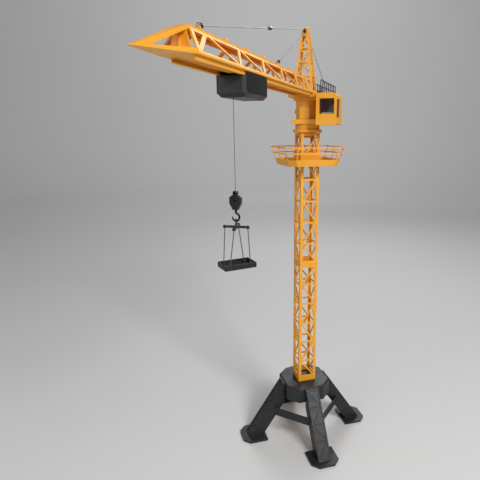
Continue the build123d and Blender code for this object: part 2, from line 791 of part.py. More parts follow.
def make_pendants():
    """Cables from the tower head, each ending in a ring hook through an eyelet."""
    far_eye = (0, eyelet_first - 5 * eyelet_pitch, jib_top + 3.6)
    near_eye = (0, eyelet_first - eyelet_pitch, jib_top + 3.6)
    rear_eye = (0, counter_end - 25, counter_low + counter_thick + 6)
    runs = {"long": (far_eye, (0, head_y - 10.5, pendant_height + 3)),
            "short": (near_eye, (0, head_y - 10.5, pendant_height - 2)),
            "counter": (rear_eye, (0, head_y + 10.5, pendant_height + 1))}
    ring, wire = 4.9, 0.7
    ferrule_start, ferrule_end = ring + wire + 0.1, ring + wire + 7.6
    turnbuckle_at, turnbuckle_half = 0.522, 12.0
    lines = {}
    for name, (low, high) in runs.items():
        low, high = Vector(*low), Vector(*high)
        low += Vector(0, 2.2 if high.Y > low.Y else -2.2, 4.6)
        lines[name] = (low, high, (high - low).normalized())

    low, high, along = lines["long"]
    middle = low + (high - low) * turnbuckle_at
    with BuildPart() as jib_cables:
        rod(low + along * ferrule_end, middle - along * turnbuckle_half, cable_radius)
        rod(middle + along * turnbuckle_half, high, cable_radius)
        start, end, run = lines["short"]
        rod(start + run * ferrule_end, end, cable_radius)
    keep_turned(jib_cables, "jib_pendants")

    with BuildPart() as turnbuckle:
        rod(middle - along * turnbuckle_half, middle + along * turnbuckle_half, 2.6)
        rod(middle - along * 6, middle + along * 6, 4.0)
    keep_turned(turnbuckle, "pendant_turnbuckle")

    low, high, along = lines["counter"]
    with BuildPart() as counter_cable:
        rod(low + along * ferrule_end, high, cable_radius)
    keep_turned(counter_cable, "counter_jib_pendant")

    with BuildPart() as ferrules:
        for low, high, along in lines.values():
            rod(low + along * ferrule_start, low + along * ferrule_end, 2.4)
    keep_turned(ferrules, "pendant_ferrules")

    with BuildPart() as hooks:
        for low, high, along in lines.values():
            flat = Plane(origin=low, x_dir=along, z_dir=(1, 0, 0))
            with BuildSketch(flat):
                Circle(ring + wire)
                Circle(ring - wire, mode=Mode.SUBTRACT)
            extrude(amount=wire, both=True)
    keep_turned(hooks, "pendant_hooks")


# ---- counter-jib ----
def make_counter_jib():
    with BuildPart() as deck:
        block((-counter_half, counter_start, counter_low),
              (counter_half, counter_end, counter_low + counter_thick))
        block((-counter_half, 44, deck_low + deck_thick),
              (counter_half, counter_start + 12, counter_low + counter_thick))
        for way in (-1, 1):
            web = sorted((way * (counter_half - 3), way * counter_half))
            block((web[0], counter_start, counter_low - 5),
                  (web[1], counter_end, counter_low))
        eye = Location((0, counter_end - 25, counter_low + counter_thick + 6), (90, 0, 0))
        with Locations(eye):
            Cylinder(5.3, 2.6)
        block((-4, counter_end - 26.3, counter_low + counter_thick),
              (4, counter_end - 23.7, counter_low + counter_thick + 4))
        with Locations(eye):
            Cylinder(3.0, 3, mode=Mode.SUBTRACT)
    keep_turned(deck, "counter_jib_deck")

    with BuildPart() as railings:
        floor_z = counter_low + counter_thick
        start, count = counter_start + 14, 9
        pitch = (counter_end - start - 2.6) / (count - 1)
        for way in (1, -1):
            outer = sorted((way * (counter_half - 2.4), way * counter_half))
            for low, high in ((floor_z, floor_z + 2.4), (floor_z + 17, floor_z + 19.4),
                              (floor_z + rail_height - 2.8, floor_z + rail_height)):
                block((outer[0], start, low), (outer[1], counter_end, high))
            for index in range(count):
                y = start + pitch * index
                block((outer[0], y, floor_z), (outer[1], y + 2.6, floor_z + rail_height))
    keep_turned(railings, "counter_jib_railings")

    with BuildPart() as weights:
        block((-19.5, counter_end - 46, 1062), (19.5, counter_end - 8, counter_low))
        fillet(weights.edges().filter_by(Axis.X), 3)
    keep_turned(weights, "counterweight")


# ---- trolley ----
def trolley_outline(inset):
    """Plan outline of the trolley housing with cut corners."""
    cut = 6.0 - inset * 0.6
    right, front, back = trolley_half - inset, trolley_front + inset, trolley_back - inset
    return [(-right, front + cut), (-right + cut, front), (right - cut, front),
            (right, front + cut), (right, back - cut), (right - cut, back),
            (-right + cut, back), (-right, back - cut)]


def make_trolley():
    with BuildPart() as whole:
        with BuildSketch(Plane.XY.offset(trolley_low)):
            Polygon(*trolley_outline(0), align=None)
        extrude(amount=trolley_high - trolley_low)
        chamfer(whole.edges().group_by(Axis.Z)[0], trolley_cut)
        with BuildSketch(Plane.XY.offset(trolley_low + trolley_cut)):
            Polygon(*trolley_outline(trolley_wall), align=None)
        extrude(amount=trolley_high - trolley_low - trolley_cut, mode=Mode.SUBTRACT)
        block((-trolley_half + 9, trolley_front + 9, trolley_low + trolley_wall),
              (trolley_half - 9, trolley_back - 9, trolley_low + trolley_cut), Mode.SUBTRACT)
        for way in (-1, 1):
            wall = sorted((way * (trolley_half - trolley_wall), way * trolley_half))
            block((wall[0], trolley_front + 6, trolley_high - 1),
                  (wall[1], trolley_back - 6, trolley_side_high))
        with BuildSketch(Plane.XY.offset(trolley_low)):
            with Locations((0, rope_y)):
                Circle(2.4)
            with Locations((-15, -532), (15, -532), (-15, -508), (15, -508)):
                Circle(2.6)
        extrude(amount=1.4, mode=Mode.SUBTRACT)
        with BuildSketch(Plane.XY.offset(trolley_low)):
            with Locations((0, rope_y)):
                Circle(2.4)
            with Locations((-15, -532), (15, -532), (-15, -508), (15, -508)):
                Circle(1.3)
        extrude(amount=7, mode=Mode.SUBTRACT)
        for way in (-1, 1):
            recess = sorted((way * (trolley_half - 0.8), way * (trolley_half + 1)))
            with BuildSketch(Plane.YZ.offset(recess[0])):
                Polygon(*side_panel_outline(0.1), align=None)
            extrude(amount=1.8, mode=Mode.SUBTRACT)
    for way, name in ((1, "right"), (-1, "left")):
        with BuildPart() as shell:
            add(whole.part)
            split(bisect_by=Plane.YZ.offset(0.08 * way),
                  keep=Keep.TOP if way == 1 else Keep.BOTTOM)
        keep_turned(shell, f"trolley_shell_{name}")

    with BuildPart() as panels:
        for start in (trolley_half - 0.7, -trolley_half - 0.4):
            with BuildSketch(Plane.YZ.offset(start)):
                Polygon(*side_panel_outline(0), align=None)
            extrude(amount=1.1)
    keep_turned(panels, "trolley_side_panels")

    with BuildPart() as screws:
        with Locations((-15, -532, 0), (15, -532, 0), (-15, -508, 0), (15, -508, 0)):
            with Locations((0, 0, trolley_low + 0.3)):
                Cylinder(2.4, 1.1, align=(Align.CENTER, Align.CENTER, Align.MIN))
            with Locations((0, 0, trolley_low + 1.4)):
                Cylinder(1.2, 3.4, align=(Align.CENTER, Align.CENTER, Align.MIN))
    keep_turned(screws, "trolley_screws")

    with BuildPart() as saddle:
        base_low, base_high = pinion_z + 5.2, trolley_high - 0.1
        block((-26.4, trolley_front + 8, base_low), (26.4, trolley_back - 8, base_high))
        block((-5.5, pinion_y - 15, base_low - 1), (5.5, pinion_y + 15, base_high + 1),
              Mode.SUBTRACT)
        for y in (trolley_front + 12, trolley_back - 36):
            for way in (-1, 1):
                neck = sorted((way * 10.4, way * 15))
                shoe = sorted((way * 15, way * 22.8))
                block((neck[0], y, base_high), (neck[1], y + 24, 1099.4))
                block((shoe[0], y, 1095.4), (shoe[1], y + 24, 1099.4))
    keep_turned(saddle, "trolley_saddle")

    for name, y, z in (("travel_gearmotor", pinion_y, pinion_z),
                       ("hoist_gearmotor", drum_y, drum_z)):
        start = 5.5 if name == "travel_gearmotor" else 9.0
        with BuildPart() as motor:
            block((start, y - 6, z - 4.9), (start + 9, y + 6, z + 4.9))
            with Locations(Location((start + 9, y, z), (0, 90, 0))):
                Cylinder(4.8, 24.4 - start - 9, align=(Align.CENTER, Align.CENTER, Align.MIN))
            with Locations(Location((start, y, z), (0, 90, 0))):
                Cylinder(1.56, 7, align=(Align.CENTER, Align.CENTER, Align.MIN),
                         mode=Mode.SUBTRACT)
        keep_turned(motor, name)

    with BuildPart() as pinion:
        # A tooth points straight down, so a gap faces the rack above it.
        with BuildSketch(Plane.YZ.offset(-3.5)):
            with Locations((pinion_y, pinion_z)):
                Polygon(*gear_points(travel_pinion_teeth, 90 + 180 / travel_pinion_teeth),
                        align=None)
        extrude(amount=7)
        with Locations(Location((3.5, pinion_y, pinion_z), (0, 90, 0))):
            Cylinder(1.5, 8, align=(Align.CENTER, Align.CENTER, Align.MIN))
    keep_turned(pinion, "travel_pinion")

    with BuildPart() as drum:
        with BuildSketch(Plane.YZ.offset(-7)):
            with Locations((drum_y, drum_z)):
                Circle(9.5)
        extrude(amount=2)
        with BuildSketch(Plane.YZ.offset(5)):
            with Locations((drum_y, drum_z)):
                Circle(9.5)
        extrude(amount=2)
        with Locations(Location((-5, drum_y, drum_z), (0, 90, 0))):
            Cylinder(drum_core, 10, align=(Align.CENTER, Align.CENTER, Align.MIN))
        with Locations(Location((7, drum_y, drum_z), (0, 90, 0))):
            Cylinder(1.5, 8, align=(Align.CENTER, Align.CENTER, Align.MIN))
        with Locations(Location((-7, drum_y, drum_z), (0, 90, 0))):
            Cylinder(1.5, 6, align=(Align.CENTER, Align.CENTER, Align.MIN), mode=Mode.SUBTRACT)
    keep_turned(drum, "hoist_drum")

    with BuildPart() as rope:
        rod((0, rope_y, block_top - 4), (0, rope_y, drum_z), rope_radius)
    keep_turned(rope, "hoist_rope")


# ---- hook block and sling set ----
def side_panel_outline(grow):
    """Outline of the trolley's side panel in the YZ plane."""
    front, back = trolley_front + 7 - grow, trolley_back - 7 + grow
    low, high = trolley_low + trolley_cut + 0.8 - grow, trolley_side_high - 1.4 + grow
    cut = 7.0
    return [(front + cut, low), (back - cut, low), (back, low + cut), (back, high),
            (front, high), (front, low + cut)]


def block_outline():
    """Right half of the hook block's outline, from its top lug to its foot."""
    return [(0, block_top), (3.2, block_top - 0.8), (4.6, block_top - 3), (4.6, block_top - 8),
            (7.5, block_top - 9.5), (block_half, block_wide_top), (block_half, block_wide_low),
            (5.5, block_low), (0, block_low)]


def make_hook_block():
    for way, name in ((-1, "front"), (1, "rear")):
        with BuildPart() as cheek:
            right = block_outline()
            left = [(-x, z) for x, z in reversed(right[1:-1])]
            with BuildSketch(Plane.XZ.offset(-rope_y)):
                Polygon(*right, *left, align=None)
            extrude(amount=4.5 * -way)
            outer = cheek.faces().sort_by(Axis.Y)[0 if way == -1 else -1]
            chamfer(outer.edges(), 1.2)
            block((-7, rope_y - 2.4, block_wide_low), (7, rope_y + 2.4, block_wide_top),
                  Mode.SUBTRACT)
            with BuildSketch(Plane.XZ.offset(-rope_y - 6)):
                with Locations((0, block_top - 4.5)):
                    Circle(1.9)
            extrude(amount=12, mode=Mode.SUBTRACT)
            with Locations((0, rope_y, block_top - 5)):
                Cylinder(0.95, 8, align=(Align.CENTER, Align.CENTER, Align.MIN),
                         mode=Mode.SUBTRACT)
            with Locations((0, rope_y, block_low - 1)):
                Cylinder(1.8, 14, align=(Align.CENTER, Align.CENTER, Align.MIN),
                         mode=Mode.SUBTRACT)
            with Locations((0, rope_y, block_low + 3)):
                Cylinder(3.1, 3.2, align=(Align.CENTER, Align.CENTER, Align.MIN),
                         mode=Mode.SUBTRACT)
        keep_turned(cheek, f"hook_block_{name}")

    centre_z = hook_centre
    with BuildPart() as hook:
        with Locations((0, rope_y, block_low + 3.2)):
            Cylinder(2.9, 2.6, align=(Align.CENTER, Align.CENTER, Align.MIN))
        with Locations((0, rope_y, centre_z + 7)):
            Cylinder(1.7, block_low + 3.4 - centre_z - 7,
                     align=(Align.CENTER, Align.CENTER, Align.MIN))
        with BuildSketch(Plane.XZ.offset(-rope_y)):
            with Locations((0, centre_z)):
                Circle(hook_outer)
                Circle(hook_inner, mode=Mode.SUBTRACT)
            with Locations((-7.2, centre_z + 4.8)):
                Rectangle(9, 6, rotation=-20, mode=Mode.SUBTRACT)
            with Locations((0, centre_z + hook_outer)):
                Rectangle(4.4, 5)
        extrude(amount=1.7, both=True)
    keep_turned(hook, "crane_hook")


def sling_spot(x, y, turn):
    """Turn a point of the sling set about the rope."""
    angle = radians(turn)
    return x * cos(angle) - y * sin(angle), rope_y + x * sin(angle) + y * cos(angle)


def sling_direction(turn):
    return cos(radians(turn)), sin(radians(turn))


def make_sling_set():
    frame = Plane(origin=(0, rope_y, 0), x_dir=(*sling_direction(spreader_turn), 0),
                  z_dir=(0, 0, 1))
    arm_x, arm_y = 15.2, 16.9
    ring_z = hook_centre - 7.8
    with BuildPart() as spreader:
        with BuildSketch(frame.offset(spreader_z)):
            for way in (-1, 1):
                strut((-arm_x, -arm_y * way), (arm_x, arm_y * way), 4.6)
            Circle(7.5)
            with Locations((arm_x, arm_y), (-arm_x, arm_y), (arm_x, -arm_y), (-arm_x, -arm_y)):
                Circle(3.6)
        extrude(amount=3.6)
        with BuildSketch(frame.offset(spreader_z + 3.6)):
            with Locations((arm_x, arm_y), (-arm_x, arm_y), (arm_x, -arm_y), (-arm_x, -arm_y)):
                Circle(2.2)
        extrude(amount=1.6)
        with BuildSketch(Plane.YZ):
            with Locations((rope_y, ring_z)):
                Circle(5.8)
                Circle(3.9, mode=Mode.SUBTRACT)
        extrude(amount=1.1, both=True)
        block((-1.1, rope_y - 2.6, spreader_z + 3.4), (1.1, rope_y + 2.6, ring_z - 4.6))
    keep_turned(spreader, "spreader")

    frame = Plane(origin=(0, rope_y, 0), x_dir=(*sling_direction(tray_turn), 0),
                  z_dir=(0, 0, 1))
    tray_x, tray_y = 21.3, tray_half_y - 4.5
    with BuildPart() as tray:
        with BuildSketch(frame.offset(tray_low)):
            RectangleRounded(2 * tray_half_x, 2 * tray_half_y, 2)
        extrude(amount=tray_high - tray_low)
        with BuildSketch(frame.offset(tray_low + 2.2)):
            RectangleRounded(2 * tray_half_x - 4.4, 2 * tray_half_y - 4.4, 1.2)
        extrude(amount=tray_high - tray_low, mode=Mode.SUBTRACT)
        with BuildSketch(frame.offset(tray_low + 1)):
            with Locations((tray_x, tray_y), (-tray_x, tray_y), (tray_x, -tray_y),
                           (-tray_x, -tray_y)):
                Circle(3.0)
        extrude(amount=6)
    keep_turned(tray, "loading_tray")

    with BuildPart() as slings:
        for way_x in (-1, 1):
            for way_y in (-1, 1):
                top = sling_spot(arm_x * way_x, arm_y * way_y, spreader_turn)
                low = sling_spot(tray_x * way_x, tray_y * way_y, tray_turn)
                rod((*low, tray_low + 7), (*top, spreader_z), 1.0)
    keep_turned(slings, "slings")


def main():
    make_hub()
    make_legs()
    make_ties()
    make_mast()
    make_gallery()
    make_slew_base()
    make_turret()
    make_cabin()
    make_tower_head()
    make_jib()
    make_pendants()
    make_counter_jib()
    make_trolley()
    make_hook_block()
    make_sling_set()


main()
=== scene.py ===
import json
import math

import bpy
from mathutils import Matrix, Vector


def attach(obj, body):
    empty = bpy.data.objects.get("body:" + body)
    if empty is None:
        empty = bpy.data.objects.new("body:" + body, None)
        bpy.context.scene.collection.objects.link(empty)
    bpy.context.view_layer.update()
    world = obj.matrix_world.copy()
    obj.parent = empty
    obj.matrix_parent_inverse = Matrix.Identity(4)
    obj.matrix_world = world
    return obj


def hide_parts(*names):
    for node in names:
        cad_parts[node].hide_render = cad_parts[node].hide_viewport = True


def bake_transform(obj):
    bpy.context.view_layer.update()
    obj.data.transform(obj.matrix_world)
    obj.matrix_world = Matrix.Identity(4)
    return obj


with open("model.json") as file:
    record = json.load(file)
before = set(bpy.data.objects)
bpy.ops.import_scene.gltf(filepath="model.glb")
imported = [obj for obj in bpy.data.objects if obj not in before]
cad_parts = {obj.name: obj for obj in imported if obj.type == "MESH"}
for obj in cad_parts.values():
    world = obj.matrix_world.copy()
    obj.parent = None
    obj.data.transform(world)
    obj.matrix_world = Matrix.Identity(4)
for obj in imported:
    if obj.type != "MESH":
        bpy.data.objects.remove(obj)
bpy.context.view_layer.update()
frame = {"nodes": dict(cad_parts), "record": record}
nodes = frame["nodes"]
print("crane frame loaded:", len(nodes), "nodes")

mm = 0.001
jibTurn = math.radians(-33.96)  # the upper works rest turned by this about the mast


def clearSelection():
    if bpy.context.object and bpy.context.object.mode != "OBJECT":
        bpy.ops.object.mode_set(mode="OBJECT")
    bpy.ops.object.select_all(action="DESELECT")


def pick(piece):
    clearSelection()
    piece.select_set(True)
    bpy.context.view_layer.objects.active = piece


def seat(piece):
    pick(piece)
    bpy.ops.object.transform_apply(location=True, rotation=True, scale=True)


def join(parts):
    clearSelection()
    for part in parts:
        part.select_set(True)
    bpy.context.view_layer.objects.active = parts[0]
    if len(parts) > 1:
        bpy.ops.object.join()
    return bpy.context.object


def turnWithJib(piece):
    pick(piece)
    piece.matrix_world = Matrix.Rotation(jibTurn, 4, "Z") @ piece.matrix_world
    seat(piece)


def addModifier(piece, kind, **settings):
    pick(piece)
    modifier = piece.modifiers.new(kind.title(), kind)
    for key, value in settings.items():
        setattr(modifier, key, value)
    bpy.ops.object.modifier_apply(modifier=modifier.name)


def roundEdges(piece, width, segments=2, angle=32):
    addModifier(piece, "BEVEL", width=width * mm, segments=segments, limit_method="ANGLE",
                angle_limit=math.radians(angle), use_clamp_overlap=True)


def smooth(piece, angle=35):
    pick(piece)
    bpy.ops.object.shade_smooth_by_angle(angle=math.radians(angle))


def outward(piece):
    pick(piece)
    bpy.ops.object.mode_set(mode="EDIT")
    bpy.ops.mesh.select_all(action="SELECT")
    bpy.ops.mesh.remove_doubles(threshold=1e-6)
    bpy.ops.mesh.normals_make_consistent(inside=False)
    bpy.ops.object.mode_set(mode="OBJECT")


# wanted(centre in mm, normal) says which faces to select; leaves edit mode on
def selectFaces(piece, wanted):
    pick(piece)
    bpy.ops.object.mode_set(mode="EDIT")
    bpy.ops.mesh.select_mode(type="FACE")
    bpy.ops.mesh.select_all(action="DESELECT")
    bpy.ops.object.mode_set(mode="OBJECT")
    for face in piece.data.polygons:
        face.select = bool(wanted(face.center / mm, face.normal))
    bpy.ops.object.mode_set(mode="EDIT")


def block(low, high, rounding=0.0):
    low, high = Vector(low) * mm, Vector(high) * mm
    clearSelection()
    bpy.ops.mesh.primitive_cube_add(size=1, location=(low + high) / 2)
    piece = bpy.context.object
    piece.scale = high - low
    seat(piece)
    if rounding:
        roundEdges(piece, rounding, 3)
    return piece


# a lathe-turned piece: profile holds (radius, distance from start) in mm
def turned(profile, start, end, sides=28):
    start, end = Vector(start) * mm, Vector(end) * mm
    clearSelection()
    bpy.ops.mesh.primitive_circle_add(vertices=sides, radius=profile[0][0] * mm,
                                      fill_type="NGON", location=(0, 0, profile[0][1] * mm))
    piece = bpy.context.object
    bpy.ops.object.transform_apply(location=True)
    bpy.ops.object.mode_set(mode="EDIT")
    bpy.ops.mesh.select_mode(type="FACE")
    bpy.ops.mesh.select_all(action="SELECT")
    last, height = profile[0]
    for radius, distance in profile[1:]:
        bpy.ops.mesh.extrude_region_move(
            TRANSFORM_OT_translate={"value": (0, 0, (distance - height) * mm)})
        scale = radius / last
        bpy.ops.transform.resize(value=(scale, scale, 1),
                                 center_override=(0, 0, distance * mm))
        last, height = radius, distance
    bpy.ops.object.mode_set(mode="OBJECT")
    outward(piece)
    piece.matrix_world = (Matrix.Translation(start)
                          @ (end - start).to_track_quat("Z", "Y").to_matrix().to_4x4())
    seat(piece)
    return piece


def ringAt(centre, normal, radius, wire, sides=28):
    clearSelection()
    bpy.ops.mesh.primitive_torus_add(major_radius=radius * mm, minor_radius=wire * mm,
                                     major_segments=sides, minor_segments=10)
    piece = bpy.context.object
    piece.matrix_world = (Matrix.Translation(Vector(centre) * mm)
                          @ Vector(normal).to_track_quat("Z", "Y").to_matrix().to_4x4())
    seat(piece)
    return piece


# strands laid round each other along a straight taut run
def twistedCable(start, end, radius, strands=3, pitch=9.0, sides=6):
    start, end = Vector(start) * mm, Vector(end) * mm
    length = (end - start).length
    turns = max(1, round(length / (pitch * mm)))
    strand = radius * 0.54 * mm
    rings = []
    for index in range(strands):
        angle = 2 * math.pi * index / strands
        offset = radius * mm - strand
        clearSelection()
        bpy.ops.mesh.primitive_circle_add(
            vertices=sides, radius=strand,
            location=(offset * math.cos(angle), offset * math.sin(angle), 0))
        rings.append(bpy.context.object)
        seat(rings[-1])
    piece = join(rings)
    addModifier(piece, "SCREW", axis="Z", angle=2 * math.pi, screw_offset=length / turns,
                iterations=turns, steps=8, render_steps=8, use_merge_vertices=False,
                use_smooth_shade=True)
    pick(piece)
    bpy.ops.object.mode_set(mode="EDIT")
    bpy.ops.mesh.select_all(action="SELECT")
    bpy.ops.mesh.fill_holes(sides=sides)
    bpy.ops.object.mode_set(mode="OBJECT")
    outward(piece)
    piece.matrix_world = (Matrix.Translation(start)
                          @ (end - start).to_track_quat("Z", "Y").to_matrix().to_4x4())
    seat(piece)
    return piece


# a round bar bent along a smooth curve; radii follow the points
def bentRod(points, radii, resolution=10):
    clearSelection()
    bpy.ops.curve.primitive_nurbs_path_add()
    curve = bpy.context.object
    spline = curve.data.splines[0]
    spline.points.add(len(points) - len(spline.points))
    for index, (point, radius) in enumerate(zip(points, radii)):
        spline.points[index].co = (*(Vector(point) * mm), 1)
        spline.points[index].radius = radius
    spline.order_u = 3
    spline.use_endpoint_u = True
    curve.data.bevel_depth = mm
    curve.data.bevel_resolution = 4
    curve.data.resolution_u = resolution
    curve.data.use_fill_caps = True
    bpy.ops.object.convert(target="MESH")
    piece = bpy.context.object
    outward(piece)
    return piece


# a copy of a CAD node, its loose triangles merged and its edges eased
def copyNode(name, rounding=0.0, segments=2, angle=32):
    clearSelection()
    source = nodes[name]
    piece = bpy.data.objects.new(name + "Copy", source.data.copy())
    bpy.context.scene.collection.objects.link(piece)
    pick(piece)
    bpy.ops.object.mode_set(mode="EDIT")
    bpy.ops.mesh.select_all(action="SELECT")
    bpy.ops.mesh.remove_doubles(threshold=2e-6)
    bpy.ops.mesh.dissolve_limited(angle_limit=math.radians(0.6))
    bpy.ops.object.mode_set(mode="OBJECT")
    if rounding:
        roundEdges(piece, rounding, segments, angle)
    return piece


def newMaterial(name):
    material = bpy.data.materials.new(name)
    material.use_nodes = True
    tree = material.node_tree
    shader = tree.nodes["Principled BSDF"]
    coords = tree.nodes.new("ShaderNodeTexCoord")
    return material, tree, shader, coords.outputs["Object"]


def noise(tree, coords, scale, detail=3.0, rough=0.55):
    node = tree.nodes.new("ShaderNodeTexNoise")
    node.inputs["Scale"].default_value = scale
    node.inputs["Detail"].default_value = detail
    node.inputs["Roughness"].default_value = rough
    tree.links.new(coords, node.inputs["Vector"])
    return node.outputs["Fac"]


def spread(tree, value, low, high):
    node = tree.nodes.new("ShaderNodeMapRange")
    node.inputs["From Min"].default_value = 0.3
    node.inputs["From Max"].default_value = 0.7
    node.inputs["To Min"].default_value = low
    node.inputs["To Max"].default_value = high
    tree.links.new(value, node.inputs["Value"])
    return node.outputs["Result"]


def blendColours(tree, factor, dark, light):
    node = tree.nodes.new("ShaderNodeMix")
    node.data_type = "RGBA"
    node.inputs["A"].default_value = (*dark, 1)
    node.inputs["B"].default_value = (*light, 1)
    tree.links.new(factor, node.inputs["Factor"])
    return node.outputs["Result"]


def surfaceBump(tree, shader, height, strength, distance):
    node = tree.nodes.new("ShaderNodeBump")
    node.inputs["Strength"].default_value = strength
    node.inputs["Distance"].default_value = distance
    tree.links.new(height, node.inputs["Height"])
    tree.links.new(node.outputs["Normal"], shader.inputs["Normal"])


# moulded plastic: slow colour drift, uneven gloss and a fine texture
def mouldedPlastic(name, dark, light, roughLow, roughHigh, grain=900.0, grainDepth=0.00003,
                   grainStrength=0.35, shine=0.5):
    material, tree, shader, coords = newMaterial(name)
    drift = spread(tree, noise(tree, coords, 14, 2), 0, 1)
    tree.links.new(blendColours(tree, drift, dark, light), shader.inputs["Base Color"])
    tree.links.new(spread(tree, noise(tree, coords, 60, 4), roughLow, roughHigh),
                   shader.inputs["Roughness"])
    surfaceBump(tree, shader, noise(tree, coords, grain, 2), grainStrength, grainDepth)
    shader.inputs["IOR"].default_value = 1.5
    shader.inputs["Specular IOR Level"].default_value = shine
    return material


def metalFinish(name, dark, light, roughLow, roughHigh, grain=700.0):
    material, tree, shader, coords = newMaterial(name)
    drift = spread(tree, noise(tree, coords, 220, 3), 0, 1)
    tree.links.new(blendColours(tree, drift, dark, light), shader.inputs["Base Color"])
    tree.links.new(spread(tree, noise(tree, coords, grain, 3), roughLow, roughHigh),
                   shader.inputs["Roughness"])
    surfaceBump(tree, shader, noise(tree, coords, grain * 2, 2), 0.2, 0.00001)
    shader.inputs["Metallic"].default_value = 1.0
    return material


finishes = {
    "mast_orange": mouldedPlastic("mastOrange", (0.78, 0.335, 0.022), (0.84, 0.385, 0.032),
                                  0.36, 0.48, shine=0.36),
    "black_plastic": mouldedPlastic("baseBlack", (0.013, 0.013, 0.014), (0.020, 0.020, 0.022),
                                    0.40, 0.52, grain=650, grainDepth=0.00005,
                                    grainStrength=0.45, shine=0.42),
    "trolley_black": mouldedPlastic("trolleyBlack", (0.016, 0.016, 0.019),
                                    (0.023, 0.023, 0.027), 0.36, 0.48, shine=0.34),
    "panel_black": mouldedPlastic("panelGloss", (0.003, 0.003, 0.0035), (0.005, 0.005, 0.006),
                                  0.16, 0.24, grainStrength=0.05, shine=0.12),
    "fitting_black": mouldedPlastic("fittingBlack", (0.009, 0.009, 0.010),
                                    (0.016, 0.016, 0.018), 0.20, 0.32, shine=0.5),
    "seat_grey": mouldedPlastic("seatGrey", (0.13, 0.14, 0.16), (0.19, 0.20, 0.22),
                                0.45, 0.60, grain=500, grainDepth=0.00008),
    "console_white": mouldedPlastic("consoleWhite", (0.66, 0.65, 0.61), (0.76, 0.75, 0.71),
                                    0.28, 0.40),
    "gear_nylon": mouldedPlastic("gearNylon", (0.68, 0.66, 0.58), (0.76, 0.74, 0.66),
                                 0.34, 0.46),
    "battery_case": mouldedPlastic("batterySleeve", (0.02, 0.03, 0.12), (0.03, 0.04, 0.16),
                                   0.18, 0.28),
    "board_green": mouldedPlastic("circuitGreen", (0.01, 0.07, 0.03), (0.02, 0.12, 0.05),
                                  0.30, 0.45, grain=400),
    "weight_grey": mouldedPlastic("weightGrey", (0.045, 0.047, 0.050), (0.065, 0.067, 0.072),
                                  0.50, 0.65, grain=420, grainDepth=0.00012),
    "fitting_steel": metalFinish("nickelSteel", (0.66, 0.67, 0.69), (0.84, 0.85, 0.87),
                                 0.16, 0.28),
    "dark_steel": metalFinish("darkSteel", (0.07, 0.072, 0.078), (0.15, 0.152, 0.16),
                              0.16, 0.26),
    "screw_steel": metalFinish("zincSteel", (0.46, 0.47, 0.49), (0.60, 0.61, 0.63), 0.26, 0.40),
    "motor_steel": metalFinish("motorSteel", (0.34, 0.35, 0.37), (0.48, 0.49, 0.51),
                               0.30, 0.45),
    "cable_grey": mouldedPlastic("cableGrey", (0.34, 0.345, 0.355), (0.46, 0.465, 0.475),
                                 0.30, 0.42, grain=1400, shine=0.6),
    "sling_grey": mouldedPlastic("slingGrey", (0.045, 0.046, 0.049), (0.10, 0.10, 0.106),
                                 0.40, 0.55, grain=1400, shine=0.5),
}


def cordFinish():
    material, tree, shader, coords = newMaterial("darkCord")
    fibre = spread(tree, noise(tree, coords, 1400, 3), 0, 1)
    tree.links.new(blendColours(tree, fibre, (0.016, 0.016, 0.018), (0.07, 0.07, 0.076)),
                   shader.inputs["Base Color"])
    shader.inputs["Roughness"].default_value = 0.62
    shader.inputs["Sheen Weight"].default_value = 0.3
    surfaceBump(tree, shader, noise(tree, coords, 2200, 3), 0.5, 0.00006)
    return material


def tintedGlass():
    material, tree, shader, coords = newMaterial("cabinGlass")
    tree.links.new(blendColours(tree, spread(tree, noise(tree, coords, 20, 2), 0, 1),
                                (0.020, 0.022, 0.026), (0.026, 0.028, 0.034)),
                   shader.inputs["Base Color"])
    tree.links.new(spread(tree, noise(tree, coords, 90, 3), 0.04, 0.07),
                   shader.inputs["Roughness"])
    shader.inputs["Alpha"].default_value = 0.24
    shader.inputs["Specular IOR Level"].default_value = 0.35
    shader.inputs["IOR"].default_value = 1.45
    return material


finishes["rope_black"] = cordFinish()
finishes["cabin_glass"] = tintedGlass()
print("finishes made:", len(finishes))


def coat(piece, slotName):
    piece.data.materials.clear()
    piece.data.materials.append(finishes[slotName])


# name, finish and mount a finished piece, in place of the CAD nodes it stands for
def keepPiece(piece, name, slotName, body, replaced=(), angle=35, flat=False):
    piece.name = name
    piece.data.name = name
    smooth(piece, angle)
    if flat:
        addModifier(piece, "WEIGHTED_NORMAL", weight=100, keep_sharp=True)
    coat(piece, slotName)
    if body:
        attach(piece, body)
    if replaced:
        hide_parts(*replaced)
    return piece


nodeSlots = {entry["node"]: entry["material_slot"] for entry in frame["record"]["subparts"]}
nodeBodies = {node: body for body, members in frame["record"]["behaviour"]["bodies"].items()
              for node in members}
for nodeName, slotName in nodeSlots.items():
    coat(nodes[nodeName], slotName)


# a CAD node shown with eased edges
def easedNode(name, rounding, segments=2, angle=32):
    words = name.split("_")
    label = words[0] + "".join(word.title() for word in words[1:]) + "Eased"
    piece = copyNode(name, rounding, segments, angle)
    return keepPiece(piece, label, nodeSlots[name], nodeBodies[name], (name,), flat=True)


